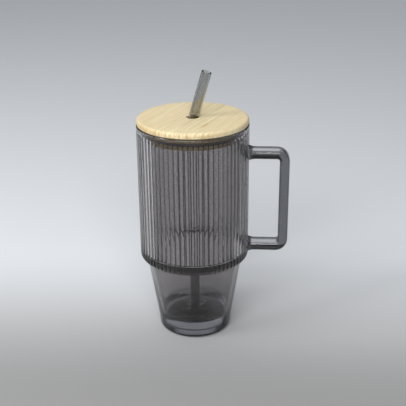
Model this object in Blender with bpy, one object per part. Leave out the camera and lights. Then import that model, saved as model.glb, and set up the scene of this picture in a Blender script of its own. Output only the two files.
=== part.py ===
"""Ribbed smoke-glass drinking jar with a side handle, a bamboo lid and a bent glass straw.

Metres, +Z up. The origin is the centre of the base, Z is the jar's axis and the handle points to +X.
"""

import math

import bmesh
import bpy

# Glass body
BODY_DIAMETER = 0.0904  # over the crests of the ribs
GLASS_HEIGHT = 0.1807
WALL = 0.0032  # of the ribbed part, from a crest to the bore
RIM_BAND = 0.0030  # smooth band between the rounded lip and the ribs

# Ribs round the upper part
RIB_COUNT = 72
RIB_DEPTH = 0.00055
RIB_FADE = 0.0035  # height over which a rib grows out of the rim band
RIB_POINTS = 4  # mesh points across one rib

# Shoulder, where the wide ribbed part steps in to the tapered foot
SHOULDER_HEIGHT = 0.0660  # underside of the step, above the base
SHOULDER_STEP = 0.0052  # how far the foot's top stands in from the ribs
SHOULDER_RADIUS = 0.0035
SHOULDER_GLASS = 0.0066  # thickness of the step
LEDGE_FILLET = 0.0025  # inside, between the bore and the ledge
LEDGE_EDGE = 0.0020  # inside, round the ledge's own edge
NECK_FILLET = 0.0012  # outside, under the step

# Tapered foot
FOOT_DIAMETER = 0.0621  # where the taper ends, on top of the heel
FOOT_WALL = 0.0033
HEEL_HEIGHT = 0.0085
HEEL_DRAFT = 0.0004  # the heel narrows by this much before its rounding
HEEL_RADIUS = 0.0037
FLOOR_GLASS = 0.0075  # thickness of the bottom
FLOOR_FILLET = 0.0140

# Handle, a bent bar of rounded rectangular section
HANDLE_DROP = 0.0244  # from the rim down to the upper arm's centre line
HANDLE_RISE = 0.0100  # from the shoulder up to the lower arm's centre line
HANDLE_GAP = 0.0245  # clear depth for the fingers
HANDLE_THICK = 0.0080
HANDLE_WIDTH = 0.0140
HANDLE_EDGE = 0.0036
HANDLE_BEND = 0.0062  # centre line radius of its two corners
PAD_SPREAD = 0.0022  # how far each end spreads where it is welded on
PAD_LENGTH = 0.0060

# Bamboo lid
LID_SETBACK = 0.0004  # its edge stands this far in from the ribs
LID_THICK = 0.0045
LID_EDGE = 0.0016
LID_UNDER_EDGE = 0.0006
PLUG_TOE = 0.0028  # wood below the groove
PLUG_CLEARANCE = 0.0008
PLUG_CHAMFER = 0.0008

# Silicone ring in the plug's groove
GROOVE_DROP = 0.0036  # from the rim down to the groove
GROOVE_HEIGHT = 0.0032
GROOVE_DEPTH = 0.0022
SEAL_BODY = 0.0012  # thickness of the ring behind its lips

# Bent glass straw
STRAW_DIAMETER = 0.0080
STRAW_WALL = 0.0010
STRAW_TILT = 16.4  # degrees, towards the handle
STRAW_BEND = 0.0120  # centre line radius
STRAW_UPPER = 0.0387  # straight length above the bend
STRAW_HOLE_CLEARANCE = 0.0012

SEAT_GAP = 0.0003  # between pieces that rest on each other
ROUND_POINTS = RIB_COUNT  # mesh points round smooth turned surfaces
STRAW_POINTS = 16

# Sizes that follow from those above
body_radius = BODY_DIAMETER / 2
bore_radius = body_radius - WALL
handle_top = GLASS_HEIGHT - HANDLE_DROP
handle_bottom = SHOULDER_HEIGHT + HANDLE_RISE
foot_top_radius = body_radius - SHOULDER_STEP
foot_slope = (foot_top_radius - FOOT_DIAMETER / 2) / (SHOULDER_HEIGHT - HEEL_HEIGHT)
foot_angle = math.degrees(math.atan(foot_slope))
foot_stretch = math.hypot(1, foot_slope)  # radial distance across the slope over distance square to it
lid_base = GLASS_HEIGHT + SEAT_GAP
lid_top = lid_base + LID_THICK
plug_radius = bore_radius - PLUG_CLEARANCE
groove_radius = plug_radius - GROOVE_DEPTH
groove_bottom = GLASS_HEIGHT - GROOVE_DROP - GROOVE_HEIGHT
straw_radius = STRAW_DIAMETER / 2
straw_hole_radius = straw_radius + STRAW_HOLE_CLEARANCE
straw_foot = FLOOR_GLASS + SEAT_GAP


def arc(centre, radius, start, end, steps):
    """Points (r, z) along an arc, from one angle in degrees to another."""
    points = []
    for i in range(steps + 1):
        angle = math.radians(start + (end - start) * i / steps)
        points.append((centre[0] + radius * math.cos(angle), centre[1] + radius * math.sin(angle)))
    return points


def ring(bm, radius, height, count, depth=0.0):
    """A loop of vertices round Z. Valleys between ribs lie depth below the crests."""
    loop = []
    for i in range(count):
        across = (i % RIB_POINTS) / RIB_POINTS
        reach = radius - depth * (2 * across - 1) ** 2
        angle = 2 * math.pi * i / count
        loop.append(bm.verts.new((reach * math.cos(angle), reach * math.sin(angle), height)))
    return loop


def bridge(bm, first, second):
    """Faces between two loops, of which one may have several times the other's vertices."""
    few, many = sorted((first, second), key=len)
    share = len(many) // len(few)
    half = share // 2
    for i, corner in enumerate(few):
        after = few[(i + 1) % len(few)]
        fan = [many[(i * share + j) % len(many)] for j in range(share + 1)]
        if share == 1:
            bm.faces.new((corner, after, fan[1], fan[0]))
            continue
        for j in range(share):
            bm.faces.new((corner if j < half else after, fan[j], fan[j + 1]))
        bm.faces.new((corner, fan[half], after))


def bridge_all(bm, loops):
    for first, second in zip(loops, loops[1:]):
        bridge(bm, first, second)


def cap(bm, loop, centre):
    """Closes a loop with triangles to one point."""
    tip = bm.verts.new(centre)
    for i, vertex in enumerate(loop):
        bm.faces.new((vertex, loop[(i + 1) % len(loop)], tip))


def smooth_rings(bm, profile):
    return [ring(bm, radius, height, ROUND_POINTS) for radius, height in profile]


def turned(bm, profile):
    """A ring-shaped solid from a closed profile of (r, z) points that stays off the axis."""
    loops = smooth_rings(bm, profile)
    bridge_all(bm, loops + loops[:1])


def cross_loop(bm, x, z, tilt, outline):
    """A loop across a path in the XZ plane. Tilt 0 runs up, 90 degrees runs to +X."""
    angle = math.radians(tilt)
    loop = []
    for inward, sideways in outline:
        place = (x + inward * math.cos(angle), sideways, z - inward * math.sin(angle))
        loop.append(bm.verts.new(place))
    return loop


def finish(bm, name, colour, roughness, transmission=0.0, crease=35):
    """Turns the mesh into a named object with its own material. Edges over crease degrees stay crisp."""
    bmesh.ops.recalc_face_normals(bm, faces=bm.faces)
    mesh = bpy.data.meshes.new(name)
    bm.to_mesh(mesh)
    bm.free()
    mesh.shade_smooth()
    mesh.set_sharp_from_angle(angle=math.radians(crease))
    material = bpy.data.materials.new(name)
    material.use_nodes = True
    shader = material.node_tree.nodes["Principled BSDF"]
    shader.inputs["Base Color"].default_value = (*colour, 1.0)
    shader.inputs["Roughness"].default_value = roughness
    shader.inputs["Metallic"].default_value = 0.0
    shader.inputs["Transmission Weight"].default_value = transmission
    mesh.materials.append(material)
    part = bpy.data.objects.new(name, mesh)
    bpy.context.scene.collection.objects.link(part)
    return part


def carry(part, carrier, height):
    """Hangs a part on the one that carries it, with its origin at this height on the jar's axis."""
    part.parent = carrier
    part.location.z = height - carrier.matrix_world.translation.z
    bpy.context.view_layer.update()


def foot_radius(height):
    """Outside of the tapered foot at a height above the base."""
    return FOOT_DIAMETER / 2 + (height - HEEL_HEIGHT) * foot_slope


def foot_bore(height):
    """Inside of the tapered foot, a wall's thickness in from the outside."""
    return foot_radius(height) - FOOT_WALL * foot_stretch


def tumbler():
    bm = bmesh.new()
    rib_points = RIB_COUNT * RIB_POINTS

    # Outside: rounded lip and rim band
    lip = WALL / 2
    lip_height = GLASS_HEIGHT - lip
    outside = smooth_rings(bm, arc((body_radius - lip, lip_height), lip, 90, 0, 4))
    rib_top = lip_height - RIM_BAND
    outside.append(ring(bm, body_radius, rib_top, rib_points))

    # Ribs that grow out of the band, run down the wall and fade under the shoulder
    outside.append(ring(bm, body_radius, rib_top - RIB_FADE / 2, rib_points, RIB_DEPTH * 0.75))
    outside.append(ring(bm, body_radius, rib_top - RIB_FADE, rib_points, RIB_DEPTH))
    fit = min(1.0, SHOULDER_STEP / (SHOULDER_RADIUS + NECK_FILLET * foot_stretch))
    turn = SHOULDER_RADIUS * fit
    shares = (1.0, 1.0, 0.9, 0.5, 0.0)
    shoulder = arc((body_radius - turn, SHOULDER_HEIGHT + turn), turn, 0, -90, len(shares) - 1)
    for (radius, height), share in zip(shoulder, shares):
        outside.append(ring(bm, radius, height, rib_points, RIB_DEPTH * share))

    # Neck, taper and heel
    fillet = NECK_FILLET * fit
    neck_height = SHOULDER_HEIGHT - fillet
    neck = (foot_radius(neck_height) + fillet * foot_stretch, neck_height)
    lower = arc(neck, fillet, 90, 180 - foot_angle, 3)
    lower.append((FOOT_DIAMETER / 2, HEEL_HEIGHT))
    heel = (FOOT_DIAMETER / 2 - HEEL_DRAFT - HEEL_RADIUS, HEEL_RADIUS)
    lower += arc(heel, HEEL_RADIUS, 0, -90, 4)
    outside += smooth_rings(bm, lower)
    bridge_all(bm, outside)
    cap(bm, outside[-1], (0, 0, 0))

    # Inside: floor, taper, ledge over the shoulder and bore
    floor_height = FLOOR_GLASS + FLOOR_FILLET
    floor = (foot_bore(floor_height) - FLOOR_FILLET * foot_stretch, floor_height)
    inner = arc(floor, FLOOR_FILLET, -90, -foot_angle, 7)
    ledge = SHOULDER_HEIGHT + SHOULDER_GLASS
    room = bore_radius - foot_bore(ledge)
    fit = min(1.0, room / (LEDGE_FILLET + LEDGE_EDGE * foot_stretch))
    edge = LEDGE_EDGE * fit
    ledge_edge = (foot_bore(ledge - edge) + edge * foot_stretch, ledge - edge)
    inner += arc(ledge_edge, edge, 180 - foot_angle, 90, 3)
    fillet = LEDGE_FILLET * fit
    inner += arc((bore_radius - fillet, ledge + fillet), fillet, -90, 0, 3)
    inner += arc((bore_radius + lip, lip_height), lip, 180, 90, 4)[:-1]
    inside = smooth_rings(bm, inner)
    bridge_all(bm, inside + outside[:1])
    cap(bm, inside[0], (0, 0, FLOOR_GLASS))
    return finish(bm, "tumbler", (0.20, 0.19, 0.20), 0.03, 1.0)


def bar_outline(grow):
    """Rounded rectangle across the handle, grown all round by a margin."""
    edge = min(HANDLE_EDGE, 0.45 * HANDLE_THICK) + grow
    inward = HANDLE_THICK / 2 + grow - edge
    sideways = HANDLE_WIDTH / 2 + grow - edge
    outline = []
    for side, turn in (((1, 1), 0), ((-1, 1), 90), ((-1, -1), 180), ((1, -1), 270)):
        outline += arc((side[0] * inward, side[1] * sideways), edge, turn, turn + 90, 4)
    return outline


def handle():
    bm = bmesh.new()
    half_span = (handle_top - handle_bottom) / 2
    weld_radius = body_radius + SEAT_GAP
    bar_x = body_radius + HANDLE_GAP + HANDLE_THICK / 2
    bend_x = bar_x - HANDLE_BEND

    def pad(z, tilt, along):
        """Loop at a share of the pad's length from the jar, curved to sit on it."""
        away = 1 - along
        outline = bar_outline(PAD_SPREAD * away**3)
        loop = cross_loop(bm, weld_radius + PAD_LENGTH * along, z, tilt, outline)
        for vertex in loop:
            vertex.co.x -= away * (weld_radius - math.sqrt(weld_radius**2 - vertex.co.y**2))
        return loop

    def close(loop, z):
        """Hollow end face that follows the jar."""
        middle = []
        for vertex in loop:
            y = vertex.co.y / 2
            middle.append(bm.verts.new((math.sqrt(weld_radius**2 - y**2), y, (vertex.co.z + z) / 2)))
        bridge(bm, loop, middle)
        cap(bm, middle, (weld_radius, 0, z))

    shares = (0.0, 0.2, 0.45, 1.0)
    loops = [pad(half_span, 90, share) for share in shares]
    for tilts, z in (((90, 180), half_span - HANDLE_BEND), ((180, 270), HANDLE_BEND - half_span)):
        for x, offset in arc((bend_x, z), HANDLE_BEND, 180 - tilts[0], 180 - tilts[1], 5):
            tilt = 180 - math.degrees(math.atan2(offset - z, x - bend_x))
            loops.append(cross_loop(bm, x, offset, tilt, bar_outline(0)))
    loops += [pad(-half_span, 270, share) for share in reversed(shares)]
    bridge_all(bm, loops)
    close(loops[0], half_span)
    close(loops[-1], -half_span)
    return finish(bm, "handle", (0.24, 0.24, 0.26), 0.03, 1.0)


def lid():
    """Disc on the rim with a plug below it, drilled for the straw. Heights are from the rim."""
    bm = bmesh.new()
    base = lid_base - GLASS_HEIGHT
    top = lid_top - GLASS_HEIGHT
    radius = body_radius - LID_SETBACK
    groove_end = -GROOVE_DROP - GROOVE_HEIGHT
    plug_end = groove_end - PLUG_TOE
    profile = arc((radius - LID_EDGE, top - LID_EDGE), LID_EDGE, 90, 0, 4)
    profile += arc((radius - LID_UNDER_EDGE, base + LID_UNDER_EDGE), LID_UNDER_EDGE, 0, -90, 2)
    profile += [
        (plug_radius, base),
        (plug_radius, -GROOVE_DROP),
        (groove_radius, -GROOVE_DROP),
        (groove_radius, groove_end),
        (plug_radius, groove_end),
        (plug_radius, plug_end + PLUG_CHAMFER),
        (plug_radius - PLUG_CHAMFER, plug_end),
        (straw_hole_radius, plug_end),
        (straw_hole_radius, top),
    ]
    turned(bm, profile)
    return finish(bm, "lid", (0.76, 0.62, 0.38), 0.55)


def lid_seal():
    """Ring with two soft lips. Heights are from its underside."""
    bm = bmesh.new()
    inner = groove_radius + SEAT_GAP
    back = inner + SEAL_BODY
    lips = bore_radius - SEAT_GAP
    height = GROOVE_HEIGHT - 2 * SEAT_GAP
    profile = [(inner, height), (back, height), (lips, height * 0.75), (back, height * 0.5)]
    profile += [(lips, height * 0.25), (back, 0), (inner, 0)]
    turned(bm, profile)
    return finish(bm, "lid_seal", (0.20, 0.18, 0.17), 0.45, 0.3)


def straw():
    """Tube that stands on the floor and leans on the edge of the lid's hole. Heights are from its foot."""
    bm = bmesh.new()
    tilt = math.radians(STRAW_TILT)
    bend_reach = STRAW_BEND * (1 - math.cos(tilt))
    lean_room = straw_hole_radius - SEAT_GAP - straw_radius / math.cos(tilt) - bend_reach
    bend_drop = STRAW_BEND * math.sin(tilt) + lean_room / math.tan(tilt)
    bend_z = lid_top - straw_foot - bend_drop
    path = [(0.0, 0.0, 0.0)]
    for x, z in arc((STRAW_BEND, bend_z), STRAW_BEND, 180, 180 - STRAW_TILT, 4):
        path.append((x, z, 180 - math.degrees(math.atan2(z - bend_z, x - STRAW_BEND))))
    x, z, _ = path[-1]
    path.append((x + STRAW_UPPER * math.sin(tilt), z + STRAW_UPPER * math.cos(tilt), STRAW_TILT))
    loops = []
    for radius, stations in ((straw_radius, path), (straw_radius - STRAW_WALL, path[::-1])):
        outline = arc((0, 0), radius, 0, 360, STRAW_POINTS)[:-1]
        loops += [cross_loop(bm, *station, outline) for station in stations]
    bridge_all(bm, loops + loops[:1])
    return finish(bm, "straw", (0.26, 0.26, 0.26), 0.03, 1.0)


def main():
    for old in list(bpy.data.objects):
        bpy.data.objects.remove(old, do_unlink=True)
    glass = tumbler()
    carry(handle(), glass, (handle_top + handle_bottom) / 2)
    seal = lid_seal()
    carry(seal, glass, groove_bottom + SEAT_GAP)
    cover = lid()
    carry(cover, seal, GLASS_HEIGHT)
    carry(straw(), cover, straw_foot)


main()
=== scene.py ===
"""Looks of a ribbed smoke-glass drinking jar with a bamboo lid and a bent glass straw.

Metres, +Z up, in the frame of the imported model. The handle points to +X.
"""

import math

import bmesh
import bpy
from mathutils import Matrix, Vector


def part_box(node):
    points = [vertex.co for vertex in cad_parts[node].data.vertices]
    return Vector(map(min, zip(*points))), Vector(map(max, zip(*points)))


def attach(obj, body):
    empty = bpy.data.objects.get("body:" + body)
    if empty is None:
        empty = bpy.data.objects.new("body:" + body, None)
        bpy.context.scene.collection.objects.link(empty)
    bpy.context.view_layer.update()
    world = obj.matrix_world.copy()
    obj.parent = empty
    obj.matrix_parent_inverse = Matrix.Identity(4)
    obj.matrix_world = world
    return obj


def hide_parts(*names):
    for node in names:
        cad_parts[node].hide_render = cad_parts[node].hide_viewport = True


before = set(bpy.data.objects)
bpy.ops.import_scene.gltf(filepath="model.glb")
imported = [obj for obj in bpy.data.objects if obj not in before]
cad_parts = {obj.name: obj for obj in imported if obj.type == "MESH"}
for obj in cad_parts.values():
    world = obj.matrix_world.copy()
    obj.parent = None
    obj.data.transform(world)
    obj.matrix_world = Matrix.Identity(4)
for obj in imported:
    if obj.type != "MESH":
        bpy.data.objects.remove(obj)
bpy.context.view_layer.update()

# Glass body, whose height and width over the ribs come from the frame
WALL = 0.0032
RIM_BAND = 0.0012  # smooth band between the rounded lip and the ribs
RIB_COUNT = 72
RIB_DEPTH = 0.00055
RIB_FADE = 0.0025  # height over which a rib grows out of the rim band
RIB_VALLEY = 0.10  # half width of the rounding between two ribs, as a share of their pitch
SHOULDER_HEIGHT = 0.0660
SHOULDER_STEP = 0.0052
SHOULDER_RADIUS = 0.0035
SHOULDER_GLASS = 0.0066
LEDGE_FILLET = 0.0025
LEDGE_EDGE = 0.0020
NECK_FILLET = 0.0012
FOOT_DIAMETER = 0.0621
FOOT_WALL = 0.0033
HEEL_HEIGHT = 0.0085
HEEL_DRAFT = 0.0004
HEEL_RADIUS = 0.0037
FLOOR_GLASS = 0.0075
FLOOR_FLAT = 0.0045  # radius of the level middle, from which the floor rises as a dish
FLOOR_RISE = 19.0
FLOOR_DISH = 0.0120
FLOOR_FILLET = 0.0040

# Handle
HANDLE_THICK = 0.0080
HANDLE_WIDTH = 0.0140
HANDLE_EDGE = 0.0036
HANDLE_BEND = 0.0062
PAD_SPREAD = 0.0022  # the weld's fillet, along the wall
PAD_LENGTH = 0.0060  # and along the bar
WELD_SINK = 0.0003  # the fillet ends this far below the ribs' crests
WELD_DEPTH = 0.0015  # and the bar runs on into the wall to this depth

# Lid and silicone ring
LID_THICK = 0.0045
LID_EDGE = 0.0024
LID_UNDER_EDGE = 0.0006
HOLE_RADIUS = 0.0052
HOLE_EDGE = 0.0005
PLUG_CLEARANCE = 0.0008
PLUG_CHAMFER = 0.0008
GROOVE_DEPTH = 0.0022
SEAL_GAP = 0.0003
SEAL_BODY = 0.0012
SEAL_LIP = 0.0002  # radius of a lip's edge
LIP_COUNT = 2
LIP_ANGLE = 75.0  # from level to where a lip's rounding ends

# Straw
STRAW_RADIUS = 0.0040
STRAW_WALL = 0.0010
STRAW_TILT = 16.4
STRAW_BEND = 0.0120
STRAW_UPPER = 0.0387
STRAW_REST = 0.0003  # the straw leans this far from the hole's edge

# Colour of the glass: the linear colour that light keeps after it goes in and out again. Besides the glass's
# own tint, several of these are painted shade, painted highlight or painted light, as noted
BODY_STAIN = (0.55, 0.53, 0.53, 1.0)
# painted highlight: the crests of the ribs get a paler colour than the glass
CREST_HIGHLIGHT = (0.68, 0.66, 0.66, 1.0)
# painted shade: the valleys between the ribs get a near-black colour
VALLEY_SHADE = (0.09, 0.081, 0.080, 1.0)
# painted shade: the shoulder gets a near-black colour
SHOULDER_SHADE = (0.02, 0.018, 0.016, 1.0)
# darker on the handle: partly the thick bar's own tint, partly painted shade
HANDLE_TINT_AND_SHADE = (0.24, 0.245, 0.26, 1.0)
THICK_STAIN = (0.43, 0.44, 0.46, 1.0)  # round the thick base
LEVEL_PAINTED_LIGHT = (0.94, 0.94, 0.95, 1.0)  # on faces that look up or down, left nearly clear: painted light that keeps the handle's tops and the floor of the glass light
EDGE_SHADE = (0.04, 0.036, 0.036, 1.0)  # seen along the surface: painted shade for dark outlines
DEEP_SHADE = (0.008, 0.007, 0.007, 1.0)  # painted shade, seen along the surface of the base and the bar, on the base's corners and crease and on the arms' lower flanks
STRAW_STAIN = (0.62, 0.62, 0.61, 1.0)
STRAW_LOW_SHADE = (0.48, 0.48, 0.475, 1.0)  # painted shade below the lid

# Where the tint and the painted shade change, by distance from the jar's axis, counted from the radius named
# beside it
VALLEY_REACH = (-0.0006, -0.0001)  # valleys
CREST_REACH = (0.0, 0.0003)  # valleys
LEDGE_REACH = (-0.0012, -0.0006)  # valleys
ROUNDING_REACH = (-0.0008, -0.0002)  # bore
WALL_REACH = (0.0004, 0.0012)  # crests
WELD_REACH = (0.0005, 0.0030)  # crests
BAR_REACH = (0.0030, 0.0060)  # crests

# Where it changes by height, counted from the underside or from the height named beside it
CORNER_RISE = (0.0070, 0.0130)
THICK_RISE = (0.0165, 0.0185)
BASE_RISE = (0.0190, 0.0260)
CREASE_RISE = (0.0006, 0.0010)  # crease over the heel, up and down
ROUNDING_RISE = (-0.0008, 0.0)  # top of the shoulder's rounding
LEDGE_FROM = (-0.0006, 0.0002)  # top of the shoulder's rounding
LEDGE_TO = (0.0012, 0.0022)  # ledge

# Where it changes by the upright part of the surface's normal, and by Layer Weight's facing
ROUNDING_LEAN = (-0.12, -0.02)
BAR_LEAN = (-0.28, -0.05)
BAR_UNDERSIDE = (-0.85, -0.60)
LEVEL_LEAN = (0.70, 0.97)
EDGE_VIEW = (0.40, 1.00)
BAR_VIEW = (0.20, 0.60)
CORNER_VIEW = (0.24, 0.40)
BASE_VIEW = (0.50, 0.74)
STRAW_VIEW = (0.30, 0.85)
CREASE_SHARE = 0.9
OUTER_SIDE = 0.005  # radius times the normal's outward part

# Rest of the glass
GLASS_TAKEN = (14.0, 14.0, 13.0)  # what it absorbs per metre
GLASS_DENSITY = 50.0
GLASS_IOR = 1.5
SMEAR_SIZE = (0.018, 0.018, 0.030)
SMEAR_TONES = (0.50, 0.80)
SMEAR_ROUGHNESS = 0.05
WAVE_SIZE = (0.020, 0.020, 0.045)
WAVE_STRENGTH = 0.004
WAVE_HEIGHT = 0.001

# Bamboo: linear colours, grain sizes along the fibres, across them and upwards, and tones in the noise
GRAIN_ANGLE = 67.0  # degrees from +X towards +Y
STRIP_WIDTH = 0.0052
BAMBOO_LIGHT = (0.80, 0.71, 0.47, 1.0)
BAMBOO_DARK = (0.62, 0.50, 0.28, 1.0)
BAMBOO_STRIP = (0.72, 0.56, 0.34, 1.0)
BAMBOO_VESSEL = (0.48, 0.33, 0.15, 1.0)
BAMBOO_NODE = (0.50, 0.27, 0.08, 1.0)
BAMBOO_END = (0.50, 0.34, 0.15, 1.0)  # where the fibres are cut across
STREAK_SIZE = (0.045, 0.0014, 0.0050)
FIBRE_SIZE = (0.012, 0.00035, 0.0012)
VESSEL_SIZE = (0.0045, 0.00028, 0.0010)
STREAK_TONES = (0.30, 0.70)
FIBRE_TONES = (0.35, 0.75)
VESSEL_TONES = (0.62, 0.74)
END_TONES = (0.35, 0.65)
END_LEAN = (0.25, 0.95)  # part of the normal that looks along the fibres
FIBRE_SHARE = 0.35
VESSEL_SHARE = 0.45
STRIP_SHARE = 0.35
END_SHARE = 0.75
END_LEAST = 0.15  # of that share, on the palest streaks
NODE_MARK = (0.0112, -0.0235)
NODE_SIZE = (0.0080, 0.0020)
NODE_EDGE = (0.5, 1.5)  # in node sizes
NODE_RAGGED = 0.8
NODE_SHARE = 0.55
BAMBOO_GLOSS = 0.35
BAMBOO_ROUGHNESS = (0.48, 0.62)
ROUGHNESS_TONES = (0.3, 0.7)
BAMBOO_BUMP = 0.20
BAMBOO_RELIEF = 0.0002

# Silicone
SILICONE_DARK = (0.165, 0.140, 0.135, 1.0)
SILICONE_LIGHT = (0.235, 0.200, 0.195, 1.0)
CLOUD_SIZE = (0.004, 0.004, 0.003)
CLOUD_TONES = (0.3, 0.7)
SILICONE_ROUGHNESS = (0.38, 0.52)
SILICONE_GRAIN = (0.0006, 0.0006, 0.0006)
SILICONE_BUMP = 0.10
SILICONE_RELIEF = 0.0001

# Stage
PAPER_SIZE = 12.0
PAPER_DROP = 0.0002  # the base stands on a film of air
# painted shade: darker paper close in front of the jar
PAPER_FRONT_SHADE = (0.30, 0.30, 0.30, 1.0)
PAPER_BACK = (0.72, 0.74, 0.765, 1.0)
PAPER_FADE = (-0.12, 0.14)  # from the front's colour to the back's, along Y
PAPER_REACH = (0.45, 1.20)  # and part of the way outwards
PAPER_FAR = 0.40
PAPER_ROUGHNESS = 0.9
PAPER_GLOSS = 0.1
SKY_COLOUR = (0.97, 0.98, 1.0, 1.0)
SKY_HIGH = 0.86
SKY_LOW = 0.02
SKY_EDGE = (0.44, 0.52)  # upward part of the direction in which the sky brightens
SKY_ARCH = (0.58, 0.72)  # sideways part over which this edge rises
SKY_LIFT = 0.16
SKY_DEPTH = (-0.5, 0.3)  # backward part over which it comes to its full strength
SKY_FRONT = 0.30
BACKDROP = 0.54
BACKDROP_EDGE = (0.02, 0.06)
KEY_PLACE = (-1.0, -0.5, 1.0)
KEY_SIZE = (0.6, 0.6)
KEY_POWER = 8.6
FRONT_PLACE = (-0.15, -1.25, 0.95)
FRONT_SIZE = (1.4, 0.45)
FRONT_POWER = 21.5
CAMERA_DISTANCE = 0.619
CAMERA_HEIGHT = 0.3717
CAMERA_AZIMUTH = 5.0
CAMERA_PITCH = 22.82
CAMERA_YAW = 0.70
CAMERA_ROLL = -0.53
CAMERA_LENS = 72.0
CAMERA_SENSOR = 36.0
GLASS_BOUNCES = 24
GLOSSY_BOUNCES = 12

# Mesh points: across one rib, round smooth glass, round the lid and the straw, and along a quarter turn
RIB_POINTS = 16
ROUND_POINTS = 4 * RIB_COUNT
LID_POINTS = 240
STRAW_POINTS = 48
ARC_STEPS = 12
LIP_STEPS = 6
CREASE_ANGLE = 40.0  # edges sharper than this stay crisp

# Values that follow from the frame and from the sizes above
body_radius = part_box("tumbler")[1].x
glass_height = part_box("tumbler")[1].z
valley_radius = body_radius - RIB_DEPTH
bore_radius = body_radius - WALL
lip_radius = WALL / 2
lip_height = glass_height - lip_radius
rounding_top = SHOULDER_HEIGHT + SHOULDER_RADIUS
ledge_height = SHOULDER_HEIGHT + SHOULDER_GLASS
handle_low, handle_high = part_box("handle")
handle_top = handle_high.z - PAD_SPREAD - HANDLE_THICK / 2
handle_bottom = handle_low.z + PAD_SPREAD + HANDLE_THICK / 2
lid_low, lid_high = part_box("lid")
seal_low, seal_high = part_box("lid_seal")
plug_radius = bore_radius - PLUG_CLEARANCE
straw_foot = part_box("straw")[0].z
foot_slope = (body_radius - SHOULDER_STEP - FOOT_DIAMETER / 2) / (SHOULDER_HEIGHT - HEEL_HEIGHT)
foot_angle = math.degrees(math.atan(foot_slope))
foot_stretch = math.hypot(1, foot_slope)
grain_turn = (0.0, 0.0, -math.radians(GRAIN_ANGLE))  # brings the fibres to +X


# Mesh helpers


def arc(centre, radius, start, end, steps=ARC_STEPS):
    """Points (r, z) along an arc, from one angle in degrees to another."""
    points = []
    for i in range(steps + 1):
        angle = math.radians(start + (end - start) * i / steps)
        points.append((centre[0] + radius * math.cos(angle), centre[1] + radius * math.sin(angle)))
    return points


def ease(share):
    """Smooth step from 0 to 1."""
    share = min(1.0, max(0.0, share))
    return share * share * (3 - 2 * share)


def rib_drop(across):
    """Depth below the crests at a share of the way across a rib: an arch with rounded valleys."""
    from_valley = min(across, 1 - across)
    shoulder = 1 - 2 * RIB_VALLEY
    deepest = shoulder**2 + 2 * shoulder * RIB_VALLEY
    if from_valley < RIB_VALLEY:
        return 1 - 2 * shoulder * from_valley**2 / (RIB_VALLEY * deepest)
    return (1 - 2 * from_valley) ** 2 / deepest


def ring(bm, radius, height, count, depth=0.0):
    """A loop of vertices round Z, with ribs of this depth."""
    loop = []
    for i in range(count):
        reach = radius - depth * rib_drop((i % RIB_POINTS) / RIB_POINTS)
        angle = 2 * math.pi * i / count
        loop.append(bm.verts.new((reach * math.cos(angle), reach * math.sin(angle), height)))
    return loop


def bridge(bm, first, second):
    """Faces between two loops, of which one may have several times the other's vertices."""
    few, many = sorted((first, second), key=len)
    share = len(many) // len(few)
    half = share // 2
    for i, corner in enumerate(few):
        after = few[(i + 1) % len(few)]
        fan = [many[(i * share + j) % len(many)] for j in range(share + 1)]
        if share == 1:
            bm.faces.new((corner, after, fan[1], fan[0]))
            continue
        for j in range(share):
            bm.faces.new((corner if j < half else after, fan[j], fan[j + 1]))
        bm.faces.new((corner, fan[half], after))


def bridge_all(bm, loops):
    for first, second in zip(loops, loops[1:]):
        bridge(bm, first, second)


def cap(bm, loop, centre):
    """Closes a loop with triangles to one point."""
    tip = bm.verts.new(centre)
    for i, vertex in enumerate(loop):
        bm.faces.new((vertex, loop[(i + 1) % len(loop)], tip))


def rings(bm, profile, count=ROUND_POINTS):
    return [ring(bm, radius, height, count) for radius, height in profile]


def turned(bm, profile, count):
    """A ring-shaped solid from a closed profile of (r, z) points that stays off the axis."""
    loops = rings(bm, profile, count)
    bridge_all(bm, loops + loops[:1])


def cross_loop(bm, x, z, tilt, outline):
    """A loop across a path in the XZ plane. Tilt 0 runs up, 90 degrees runs to +X."""
    angle = math.radians(tilt)
    loop = []
    for inward, sideways in outline:
        place = (x + inward * math.cos(angle), sideways, z - inward * math.sin(angle))
        loop.append(bm.verts.new(place))
    return loop


def make_piece(bm, name, material):
    """Turns a mesh under construction into a shown object."""
    bmesh.ops.recalc_face_normals(bm, faces=bm.faces)
    mesh = bpy.data.meshes.new(name)
    bm.to_mesh(mesh)
    bm.free()
    piece = bpy.data.objects.new(name, mesh)
    bpy.context.scene.collection.objects.link(piece)
    shade(piece)
    mesh.materials.append(material)
    return piece


def shade(piece):
    piece.data.shade_smooth()
    piece.data.set_sharp_from_angle(angle=math.radians(CREASE_ANGLE))


# Glass body and handle


def foot_radius(height):
    return FOOT_DIAMETER / 2 + (height - HEEL_HEIGHT) * foot_slope


def foot_bore(height):
    return foot_radius(height) - FOOT_WALL * foot_stretch


def ribbed_wall(bm):
    """Loops down the outside: lip, rim band, ribs that grow out of it, and the rounded shoulder."""
    rib_points = RIB_COUNT * RIB_POINTS
    rib_top = lip_height - RIM_BAND
    loops = rings(bm, arc((body_radius - lip_radius, lip_height), lip_radius, 90, 0))
    loops.append(ring(bm, body_radius, rib_top, rib_points))
    for i in range(1, ARC_STEPS + 1):
        share = i / ARC_STEPS
        depth = RIB_DEPTH * ease(share)
        loops.append(ring(bm, body_radius, rib_top - RIB_FADE * share, rib_points, depth))
    pad_reach = HANDLE_THICK / 2 + PAD_SPREAD + WELD_SINK
    for middle in (handle_top, handle_bottom):
        for height in (middle + pad_reach, middle, middle - pad_reach):
            loops.append(ring(bm, body_radius, height, rib_points, RIB_DEPTH))
    centre = (body_radius - SHOULDER_RADIUS, rounding_top)
    for i, (radius, height) in enumerate(arc(centre, SHOULDER_RADIUS, 0, -90)):
        depth = RIB_DEPTH * (1 - ease(2 * i / ARC_STEPS - 1))
        loops.append(ring(bm, radius, height, rib_points, depth))
    return loops


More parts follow.
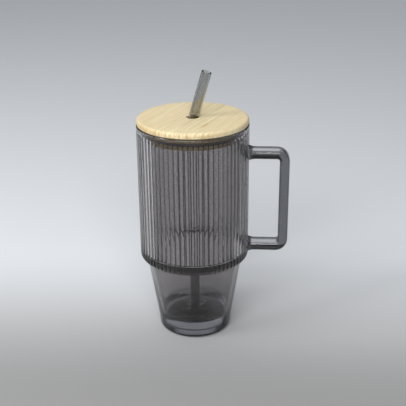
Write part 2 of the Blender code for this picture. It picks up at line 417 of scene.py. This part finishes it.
def foot_profile():
    """Points (r, z) down the neck, the taper and the heel."""
    neck_height = SHOULDER_HEIGHT - NECK_FILLET
    neck = (foot_radius(neck_height) + NECK_FILLET * foot_stretch, neck_height)
    heel = (FOOT_DIAMETER / 2 - HEEL_DRAFT - HEEL_RADIUS, HEEL_RADIUS)
    profile = arc(neck, NECK_FILLET, 90, 180 - foot_angle)
    profile.append((FOOT_DIAMETER / 2, HEEL_HEIGHT))
    return profile + arc(heel, HEEL_RADIUS, 0, -90)


def dish_profile():
    """Points (r, z) across the floor, from its level middle up to the foot's inside."""
    rise = math.radians(FLOOR_RISE)
    slope_start = FLOOR_FLAT + FLOOR_DISH * math.tan(rise / 2)
    run = foot_bore(FLOOR_GLASS) - FLOOR_FILLET * foot_stretch - slope_start
    up = (FLOOR_FILLET / math.cos(rise) + run * math.tan(rise)) / (1 - foot_slope * math.tan(rise))
    corner = (slope_start + run + up * foot_slope, FLOOR_GLASS + up)
    profile = arc((FLOOR_FLAT, FLOOR_GLASS + FLOOR_DISH), FLOOR_DISH, -90, FLOOR_RISE - 90)
    return profile + arc(corner, FLOOR_FILLET, FLOOR_RISE - 90, -foot_angle)


def bore_profile():
    """Points (r, z) over the ledge, up the bore and round the inner half of the lip."""
    room = bore_radius - foot_bore(ledge_height)
    fit = min(1.0, room / (LEDGE_FILLET + LEDGE_EDGE * foot_stretch))
    edge = LEDGE_EDGE * fit
    fillet = LEDGE_FILLET * fit
    edge_height = ledge_height - edge
    profile = arc((foot_bore(edge_height) + edge * foot_stretch, edge_height), edge, 180 - foot_angle, 90)
    profile += arc((bore_radius - fillet, ledge_height + fillet), fillet, -90, 0)
    return profile + arc((bore_radius + lip_radius, lip_height), lip_radius, 180, 90)[:-1]


def tumbler_mesh():
    bm = bmesh.new()
    outside = ribbed_wall(bm) + rings(bm, foot_profile())
    bridge_all(bm, outside)
    cap(bm, outside[-1], (0, 0, 0))
    inside = rings(bm, dish_profile() + bore_profile())
    bridge_all(bm, inside + outside[:1])
    cap(bm, inside[0], (0, 0, FLOOR_GLASS))
    return bm


def bar_outline(grow):
    """Rounded rectangle across the handle, grown all round by a margin."""
    edge = HANDLE_EDGE + grow
    inward = HANDLE_THICK / 2 + grow - edge
    sideways = HANDLE_WIDTH / 2 + grow - edge
    outline = []
    for side, turn in (((1, 1), 0), ((-1, 1), 90), ((-1, -1), 180), ((1, -1), 270)):
        outline += arc((side[0] * inward, side[1] * sideways), edge, turn, turn + 90)
    return outline


def handle_mesh():
    """Bent bar whose ends spread in a fillet and run on into the wall."""
    bm = bmesh.new()
    weld_radius = body_radius - WELD_SINK
    bend_x = handle_high.x - HANDLE_THICK / 2 - HANDLE_BEND

    def pad(z, tilt, reach, spread):
        loop = cross_loop(bm, weld_radius + reach, z, tilt, bar_outline(spread))
        away = min(1.0, 1 - reach / PAD_LENGTH)
        for vertex in loop:
            vertex.co.x -= away * (weld_radius - math.sqrt(weld_radius**2 - vertex.co.y**2))
        return loop

    def pads(z, tilt):
        fillet = [(PAD_LENGTH * (1 - c), PAD_SPREAD * (1 - s)) for c, s in arc((0, 0), 1, 0, 90)]
        return [pad(z, tilt, *place) for place in [(-WELD_DEPTH, PAD_SPREAD)] + fillet]

    loops = pads(handle_top, 90)
    corners = (((90, 180), handle_top - HANDLE_BEND), ((180, 270), handle_bottom + HANDLE_BEND))
    for (start, end), z in corners:
        for x, height in arc((bend_x, z), HANDLE_BEND, 180 - start, 180 - end, 2 * ARC_STEPS):
            tilt = 180 - math.degrees(math.atan2(height - z, x - bend_x))
            loops.append(cross_loop(bm, x, height, tilt, bar_outline(0)))
    loops += reversed(pads(handle_bottom, 270))
    bridge_all(bm, loops)
    for loop, z in ((loops[0], handle_top), (loops[-1], handle_bottom)):
        cap(bm, loop, (weld_radius - WELD_DEPTH, 0, z))
    return bm


def jar_glass(material):
    """The tumbler with its handle welded on, as one body of glass."""
    jar = make_piece(tumbler_mesh(), "jar_glass", material)
    bar = make_piece(handle_mesh(), "handle_bar", material)
    weld = jar.modifiers.new("weld", "BOOLEAN")
    weld.operation = "UNION"
    weld.object = bar
    bpy.context.view_layer.update()
    welded = bpy.data.meshes.new_from_object(jar.evaluated_get(bpy.context.evaluated_depsgraph_get()))
    jar.modifiers.clear()
    jar.data = welded
    bpy.data.objects.remove(bar)
    shade(jar)
    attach(jar, "jar")
    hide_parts("tumbler", "handle")


# Lid, ring and straw


def lid_profile():
    """Points (r, z) round the disc, the grooved plug and the straw's hole."""
    radius = lid_high.x
    top = lid_high.z
    base = top - LID_THICK
    groove_radius = plug_radius - GROOVE_DEPTH
    groove_low = seal_low.z - SEAL_GAP
    groove_high = seal_high.z + SEAL_GAP
    plug_end = lid_low.z
    profile = arc((radius - LID_EDGE, top - LID_EDGE), LID_EDGE, 90, 0)
    profile += arc((radius - LID_UNDER_EDGE, base + LID_UNDER_EDGE), LID_UNDER_EDGE, 0, -90)
    profile += [
        (plug_radius, base),
        (plug_radius, groove_high),
        (groove_radius, groove_high),
        (groove_radius, groove_low),
        (plug_radius, groove_low),
        (plug_radius, plug_end + PLUG_CHAMFER),
        (plug_radius - PLUG_CHAMFER, plug_end),
        (HOLE_RADIUS, plug_end),
    ]
    return profile + arc((HOLE_RADIUS + HOLE_EDGE, top - HOLE_EDGE), HOLE_EDGE, 180, 90)


def lid(material):
    bm = bmesh.new()
    turned(bm, lid_profile(), LID_POINTS)
    piece = make_piece(bm, "bamboo_lid", material)
    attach(piece, "lid")
    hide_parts("lid")


def seal(material):
    """Ring with two soft lips that reach almost to the glass."""
    bm = bmesh.new()
    inner = plug_radius - GROOVE_DEPTH + SEAL_GAP
    back = inner + SEAL_BODY
    lips = bore_radius - SEAL_GAP - SEAL_LIP
    pitch = (seal_high.z - seal_low.z) / LIP_COUNT
    profile = [(inner, seal_high.z), (back, seal_high.z)]
    for i in range(LIP_COUNT):
        top = seal_high.z - i * pitch
        profile += arc((lips, top - pitch / 2), SEAL_LIP, LIP_ANGLE, -LIP_ANGLE, LIP_STEPS)
        profile.append((back, top - pitch))
    profile.append((inner, seal_low.z))
    turned(bm, profile, LID_POINTS)
    piece = make_piece(bm, "silicone_ring", material)
    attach(piece, "seal_ring")
    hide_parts("lid_seal")


def straw_bend():
    """Stations (x, z, lean) round the bend, placed so that the straw leans on the hole's edge."""
    tilt = math.radians(STRAW_TILT)
    bend_reach = STRAW_BEND * (1 - math.cos(tilt))
    lean_room = HOLE_RADIUS - STRAW_REST - STRAW_RADIUS / math.cos(tilt) - bend_reach
    bend_z = lid_high.z - STRAW_BEND * math.sin(tilt) - lean_room / math.tan(tilt)
    bend = arc((STRAW_BEND, bend_z), STRAW_BEND, 180, 180 - STRAW_TILT)
    return [(x, z, STRAW_TILT * i / ARC_STEPS) for i, (x, z) in enumerate(bend)]


def straw(material):
    """Tube with fire-polished ends, upright below the lid and leaning above it."""
    bm = bmesh.new()
    tilt = math.radians(STRAW_TILT)
    stations = straw_bend()
    half_wall = STRAW_WALL / 2
    middle = STRAW_RADIUS - half_wall

    def loop(x, z, lean, radius, along=0.0):
        angle = math.radians(lean)
        place = (x + along * math.sin(angle), z + along * math.cos(angle))
        return cross_loop(bm, *place, lean, arc((0, 0), radius, 0, 360, STRAW_POINTS)[:-1])

    def end(station, start, finish):
        """Loops round a polished end, from one wall of the tube over to the other."""
        return [loop(*station, middle + r, along) for r, along in arc((0, 0), half_wall, start, finish)]

    foot = (0.0, straw_foot + half_wall, 0.0)
    reach = STRAW_UPPER - half_wall
    x, z, _ = stations[-1]
    tip = (x + reach * math.sin(tilt), z + reach * math.cos(tilt), STRAW_TILT)
    loops = [loop(*station, STRAW_RADIUS) for station in stations]
    loops += end(tip, 0, 180)
    loops += [loop(*station, STRAW_RADIUS - STRAW_WALL) for station in reversed(stations)]
    loops += end(foot, 180, 360)
    bridge_all(bm, loops + loops[:1])
    piece = make_piece(bm, "glass_straw", material)
    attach(piece, "straw")
    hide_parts("straw")


# Material helpers


def add_node(tree, kind, inputs=None, **settings):
    """A shader node. An input given as a socket is linked, and any other value is set on it."""
    made = tree.nodes.new(kind)
    for name, value in settings.items():
        setattr(made, name, value)
    for name, value in (inputs or {}).items():
        if isinstance(value, bpy.types.NodeSocket):
            tree.links.new(value, made.inputs[name])
        else:
            made.inputs[name].default_value = value
    return made


def new_material(name):
    material = bpy.data.materials.new(name)
    material.use_nodes = True
    return material, material.node_tree, material.node_tree.nodes["Principled BSDF"]


def coordinates(tree):
    return add_node(tree, "ShaderNodeTexCoord").outputs


def axes_of(tree, vector):
    return add_node(tree, "ShaderNodeSeparateXYZ", {"Vector": vector}).outputs


def combine_vectors(tree, operation, *vectors):
    inputs = dict(enumerate(vectors))
    return add_node(tree, "ShaderNodeVectorMath", inputs, operation=operation).outputs


def length(tree, vector):
    return combine_vectors(tree, "LENGTH", vector)["Value"]


def mapped(tree, vector, **settings):
    """A vector with a location, rotation or scale put on it."""
    inputs = {name.capitalize(): value for name, value in settings.items()}
    return add_node(tree, "ShaderNodeMapping", {"Vector": vector, **inputs}).outputs["Vector"]


def combine(tree, operation, *values):
    return add_node(tree, "ShaderNodeMath", dict(enumerate(values)), operation=operation).outputs[0]


def together(tree, first, *others):
    """Share where several masks hold together."""
    for other in others:
        first = combine(tree, "MULTIPLY", first, other)
    return first


def remap(tree, value, span, new_low, new_high):
    """Carries a span smoothly over to another, and stops at its ends."""
    limits = {"Value": value, "From Min": span[0], "From Max": span[1], "To Min": new_low, "To Max": new_high}
    made = add_node(tree, "ShaderNodeMapRange", limits, interpolation_type="SMOOTHSTEP")
    return made.outputs["Result"]


def rising(tree, value, span, origin=0.0):
    """Share that grows from 0 to 1 over a span, which is counted from an origin."""
    return remap(tree, value, [origin + end for end in span], 0.0, 1.0)


def falling(tree, value, span, origin=0.0):
    return remap(tree, value, [origin + end for end in span], 1.0, 0.0)


def blend(tree, share, first, second):
    """Colour between two, at a share from a socket."""
    made = add_node(tree, "ShaderNodeMix", {0: share, 6: first, 7: second}, data_type="RGBA")
    return made.outputs[2]


def stretched_noise(tree, place, size, detail):
    """Noise whose grains measure about this size along each axis."""
    scaled = mapped(tree, place, scale=[1 / grain for grain in size])
    inputs = {"Vector": scaled, "Scale": 1.0, "Detail": detail}
    return add_node(tree, "ShaderNodeTexNoise", inputs).outputs["Fac"]


def add_bump(tree, shader, height, strength, distance):
    made = add_node(tree, "ShaderNodeBump", {"Height": height, "Strength": strength, "Distance": distance})
    tree.links.new(made.outputs["Normal"], shader.inputs["Normal"])


def facing(tree):
    """0 where a surface is seen straight on, 1 where it is seen along itself."""
    return add_node(tree, "ShaderNodeLayerWeight", {"Blend": 0.5}).outputs["Facing"]


# Glass


class Surface:
    """Sockets for a point of the jar: its place, how its surface leans, and how it is seen.

    The normal points to the side that is met, so it is turned round for light inside the glass.
    """

    def __init__(self, tree, coords):
        flat = combine_vectors(tree, "MULTIPLY", coords["Object"], (1.0, 1.0, 0.0))["Vector"]
        outward = combine_vectors(tree, "DOT_PRODUCT", flat, coords["Normal"])["Value"]
        self.out = length(tree, flat)
        self.height = axes_of(tree, coords["Object"])["Z"]
        self.lean = axes_of(tree, coords["Normal"])["Z"]
        self.level = combine(tree, "ABSOLUTE", self.lean)
        self.outer = rising(tree, outward, (0.0, OUTER_SIDE))
        self.facing = facing(tree)


def bar_shade_mask(tree, at):
    """Mask for painted shade on the handle's rounded edges and on the lower flanks of its arms."""
    flank = together(tree, falling(tree, at.lean, BAR_LEAN), rising(tree, at.lean, BAR_UNDERSIDE))
    edge = combine(tree, "MAXIMUM", flank, rising(tree, at.facing, BAR_VIEW))
    return together(tree, rising(tree, at.out, BAR_REACH, body_radius), edge)


def shoulder_shade_mask(tree, at):
    """Mask for painted shade on the outer side of the rounded shoulder, and on the strip of wall in front of
    the ledge.
    """
    rounding = together(
        tree,
        falling(tree, at.height, ROUNDING_RISE, rounding_top),
        falling(tree, at.lean, ROUNDING_LEAN),
        rising(tree, at.out, ROUNDING_REACH, bore_radius),
    )
    strip = together(
        tree,
        rising(tree, at.height, LEDGE_FROM, rounding_top),
        falling(tree, at.height, LEDGE_TO, ledge_height),
        rising(tree, at.out, LEDGE_REACH, valley_radius),
        at.outer,
    )
    band = combine(tree, "MAXIMUM", rounding, strip)
    return together(tree, band, falling(tree, at.out, WALL_REACH, body_radius))


def base_shade_mask(tree, at):
    """Mask for painted shade on the sides and lower corners of the base, and on the crease over its heel."""
    corners = together(tree, falling(tree, at.height, CORNER_RISE), rising(tree, at.facing, CORNER_VIEW))
    sides = together(tree, falling(tree, at.height, BASE_RISE), rising(tree, at.facing, BASE_VIEW))
    from_crease = combine(tree, "ABSOLUTE", combine(tree, "SUBTRACT", at.height, HEEL_HEIGHT))
    crease = together(tree, remap(tree, from_crease, CREASE_RISE, CREASE_SHARE, 0.0), at.outer)
    return combine(tree, "MAXIMUM", combine(tree, "MAXIMUM", sides, corners), crease)


def jar_tint_and_shade(tree, coords):
    """The jar's smoky tint, with painted shade between the ribs, on the shoulder, the base and the edges, a
    darker handle that is partly its thick glass and partly painted shade, a painted highlight on the crests,
    and level faces left nearly clear as painted light.
    """
    at = Surface(tree, coords)
    tint_and_shade = blend(tree, rising(tree, at.out, VALLEY_REACH, valley_radius), BODY_STAIN, VALLEY_SHADE)
    tint_and_shade = blend(tree, rising(tree, at.out, CREST_REACH, valley_radius), tint_and_shade, CREST_HIGHLIGHT)
    tint_and_shade = blend(tree, rising(tree, at.out, WELD_REACH, body_radius), tint_and_shade, HANDLE_TINT_AND_SHADE)
    tint_and_shade = blend(tree, falling(tree, at.height, THICK_RISE), tint_and_shade, THICK_STAIN)
    tint_and_shade = blend(tree, rising(tree, at.facing, EDGE_VIEW), tint_and_shade, EDGE_SHADE)
    tint_and_shade = blend(tree, bar_shade_mask(tree, at), tint_and_shade, DEEP_SHADE)
    tint_and_shade = blend(tree, rising(tree, at.level, LEVEL_LEAN), tint_and_shade, LEVEL_PAINTED_LIGHT)
    tint_and_shade = blend(tree, shoulder_shade_mask(tree, at), tint_and_shade, SHOULDER_SHADE)
    return blend(tree, base_shade_mask(tree, at), tint_and_shade, DEEP_SHADE)


def straw_tint_and_shade(tree, coords):
    """The straw's tint, with painted shade below the lid and along its edges."""
    height = axes_of(tree, coords["Object"])["Z"]
    tint_and_shade = blend(tree, rising(tree, height, (lid_low.z, lid_high.z)), STRAW_LOW_SHADE, STRAW_STAIN)
    return blend(tree, rising(tree, facing(tree), STRAW_VIEW), tint_and_shade, EDGE_SHADE)


def smoke_glass(name, tint_and_shade):
    """Tinted glass with faint smears and waves. The function passed in makes its colour: the glass's tint
    with painted shade, and on the jar also painted highlight and painted light.
    """
    material, tree, shader = new_material(name)
    coords = coordinates(tree)
    tree.links.new(tint_and_shade(tree, coords), shader.inputs["Base Color"])
    smear = stretched_noise(tree, coords["Object"], SMEAR_SIZE, detail=4.0)
    tree.links.new(remap(tree, smear, SMEAR_TONES, 0.0, SMEAR_ROUGHNESS), shader.inputs["Roughness"])
    wave = stretched_noise(tree, coords["Object"], WAVE_SIZE, detail=1.0)
    add_bump(tree, shader, wave, WAVE_STRENGTH, WAVE_HEIGHT)
    shader.inputs["IOR"].default_value = GLASS_IOR
    shader.inputs["Transmission Weight"].default_value = 1.0
    passed = [1 - taken / GLASS_DENSITY for taken in GLASS_TAKEN]
    inputs = {"Color": (*passed, 1.0), "Density": GLASS_DENSITY}
    inside = add_node(tree, "ShaderNodeVolumeAbsorption", inputs)
    tree.links.new(inside.outputs["Volume"], tree.nodes["Material Output"].inputs["Volume"])
    return material


# Bamboo and silicone


def bamboo_grain(tree, place):
    """A chance value for each glued strip, and noise for the streaks, fibres and vessels in it."""
    grain = axes_of(tree, mapped(tree, place, rotation=grain_turn))
    strip = combine(tree, "FLOOR", combine(tree, "DIVIDE", grain["Y"], STRIP_WIDTH))
    chance = add_node(tree, "ShaderNodeTexWhiteNoise", {"W": strip}, noise_dimensions="1D").outputs["Value"]
    shifted = {"X": combine(tree, "ADD", grain["X"], chance), "Y": grain["Y"], "Z": grain["Z"]}
    fibre_place = add_node(tree, "ShaderNodeCombineXYZ", shifted).outputs["Vector"]
    streaks = stretched_noise(tree, fibre_place, STREAK_SIZE, detail=3.0)
    fibres = stretched_noise(tree, fibre_place, FIBRE_SIZE, detail=2.0)
    vessels = stretched_noise(tree, fibre_place, VESSEL_SIZE, detail=1.0)
    return chance, streaks, fibres, vessels


def cut_ends(tree, normal, streaks):
    """Where the lid's edge cuts across the fibres."""
    along = combine(tree, "ABSOLUTE", axes_of(tree, mapped(tree, normal, rotation=grain_turn))["X"])
    cut = remap(tree, along, END_LEAN, 0.0, END_SHARE)
    return together(tree, cut, remap(tree, streaks, END_TONES, 1.0, END_LEAST))


def node_mark(tree, place, fibres):
    """Where the node leaves its ragged streak."""
    mark = mapped(tree, place, location=(-NODE_MARK[0], -NODE_MARK[1], 0.0))
    mark = mapped(tree, mark, rotation=grain_turn)
    mark = mapped(tree, mark, scale=(1 / NODE_SIZE[0], 1 / NODE_SIZE[1], 0.0))
    ragged = combine(tree, "ADD", length(tree, mark), combine(tree, "MULTIPLY", fibres, NODE_RAGGED))
    return remap(tree, ragged, NODE_EDGE, NODE_SHARE, 0.0)


def bamboo(name):
    """Narrow glued strips, each with its own tone, fibres and dark vessels, and one node."""
    material, tree, shader = new_material(name)
    coords = coordinates(tree)
    chance, streaks, fibres, vessels = bamboo_grain(tree, coords["Object"])
    colour = blend(tree, rising(tree, streaks, STREAK_TONES), BAMBOO_DARK, BAMBOO_LIGHT)
    colour = blend(tree, remap(tree, fibres, FIBRE_TONES, 0.0, FIBRE_SHARE), colour, BAMBOO_LIGHT)
    colour = blend(tree, remap(tree, vessels, VESSEL_TONES, 0.0, VESSEL_SHARE), colour, BAMBOO_VESSEL)
    colour = blend(tree, remap(tree, chance, (0.0, 1.0), 0.0, STRIP_SHARE), colour, BAMBOO_STRIP)
    colour = blend(tree, cut_ends(tree, coords["Normal"], streaks), colour, BAMBOO_END)
    colour = blend(tree, node_mark(tree, coords["Object"], fibres), colour, BAMBOO_NODE)
    tree.links.new(colour, shader.inputs["Base Color"])
    shader.inputs["Specular IOR Level"].default_value = BAMBOO_GLOSS
    tree.links.new(remap(tree, fibres, ROUGHNESS_TONES, *BAMBOO_ROUGHNESS), shader.inputs["Roughness"])
    add_bump(tree, shader, combine(tree, "ADD", fibres, streaks), BAMBOO_BUMP, BAMBOO_RELIEF)
    return material


def silicone(name):
    """Smoke-grey rubber, a little cloudy."""
    material, tree, shader = new_material(name)
    place = coordinates(tree)["Object"]
    cloud = stretched_noise(tree, place, CLOUD_SIZE, detail=3.0)
    colour = blend(tree, rising(tree, cloud, CLOUD_TONES), SILICONE_DARK, SILICONE_LIGHT)
    tree.links.new(colour, shader.inputs["Base Color"])
    tree.links.new(remap(tree, cloud, CLOUD_TONES, *SILICONE_ROUGHNESS), shader.inputs["Roughness"])
    grain = stretched_noise(tree, place, SILICONE_GRAIN, detail=2.0)
    add_bump(tree, shader, grain, SILICONE_BUMP, SILICONE_RELIEF)
    return material


# Stage


def stage_floor():
    """Graded paper, greyer close in front of the jar than behind it and further out: painted shade in front
    of the jar.
    """
    bm = bmesh.new()
    bmesh.ops.create_grid(bm, x_segments=1, y_segments=1, size=PAPER_SIZE / 2)
    material, tree, shader = new_material("floor")
    place = coordinates(tree)["Object"]
    pale = rising(tree, axes_of(tree, place)["Y"], PAPER_FADE)
    pale = combine(tree, "MAXIMUM", pale, remap(tree, length(tree, place), PAPER_REACH, 0.0, PAPER_FAR))
    tree.links.new(blend(tree, pale, PAPER_FRONT_SHADE, PAPER_BACK), shader.inputs["Base Color"])
    shader.inputs["Roughness"].default_value = PAPER_ROUGHNESS
    shader.inputs["Specular IOR Level"].default_value = PAPER_GLOSS
    floor = make_piece(bm, "floor", material)
    floor.location.z = -PAPER_DROP


def soft_box(name, place, size, power, seen_in_glass):
    """Studio lamp that faces the jar."""
    lamp = bpy.data.lights.new(name, "AREA")
    lamp.shape = "RECTANGLE"
    lamp.size, lamp.size_y = size
    lamp.energy = power
    box = bpy.data.objects.new(name, lamp)
    bpy.context.scene.collection.objects.link(box)
    box.location = place
    middle = Vector((0, 0, glass_height / 2))
    box.rotation_euler = (middle - box.location).to_track_quat("-Z", "Y").to_euler()
    box.visible_camera = False
    box.visible_transmission = seen_in_glass


def stage_light():
    """A sky that is bright overhead, dark lower down and pale at the horizon, and two soft boxes."""
    world = bpy.data.worlds.new("studio")
    bpy.context.scene.world = world
    world.use_nodes = True
    tree = world.node_tree
    background = tree.nodes["Background"]
    background.inputs["Color"].default_value = SKY_COLOUR
    way = axes_of(tree, coordinates(tree)["Generated"])
    lift = remap(tree, combine(tree, "ABSOLUTE", way["X"]), SKY_ARCH, 0.0, SKY_LIFT)
    above = remap(tree, combine(tree, "SUBTRACT", way["Z"], lift), SKY_EDGE, SKY_LOW, SKY_HIGH)
    above = together(tree, above, remap(tree, way["Y"], SKY_DEPTH, SKY_FRONT, 1.0))
    around = remap(tree, way["Z"], BACKDROP_EDGE, BACKDROP, 0.0)
    tree.links.new(combine(tree, "MAXIMUM", above, around), background.inputs["Strength"])
    soft_box("key", KEY_PLACE, KEY_SIZE, KEY_POWER, seen_in_glass=True)
    soft_box("front", FRONT_PLACE, FRONT_SIZE, FRONT_POWER, seen_in_glass=False)


def stage_camera():
    pitch, yaw, roll = (math.radians(a) for a in (CAMERA_PITCH, CAMERA_YAW, CAMERA_ROLL))
    ahead = Vector((math.sin(yaw) * math.cos(pitch), math.cos(yaw) * math.cos(pitch), -math.sin(pitch)))
    level = Vector((math.cos(yaw), -math.sin(yaw), 0))
    up = level.cross(ahead)
    right = math.cos(roll) * level + math.sin(roll) * up
    up = right.cross(ahead)
    turn = Matrix((right, up, -ahead)).transposed().to_4x4()
    place = Matrix.Translation((0, -CAMERA_DISTANCE, CAMERA_HEIGHT))
    lens = bpy.data.cameras.new("camera")
    lens.lens = CAMERA_LENS
    lens.sensor_width = CAMERA_SENSOR
    camera = bpy.data.objects.new("camera", lens)
    bpy.context.scene.collection.objects.link(camera)
    camera.matrix_world = Matrix.Rotation(math.radians(CAMERA_AZIMUTH), 4, "Z") @ place @ turn
    bpy.context.scene.camera = camera


jar_glass(smoke_glass("smoke_glass", jar_tint_and_shade))
lid(bamboo("bamboo"))
seal(silicone("silicone"))
straw(smoke_glass("straw_glass", straw_tint_and_shade))
stage_floor()
stage_light()
stage_camera()

scene = bpy.context.scene
scene.view_settings.view_transform = "Standard"
scene.cycles.max_bounces = GLASS_BOUNCES
scene.cycles.transmission_bounces = GLASS_BOUNCES
scene.cycles.glossy_bounces = GLOSSY_BOUNCES
scene.cycles.use_denoising = True
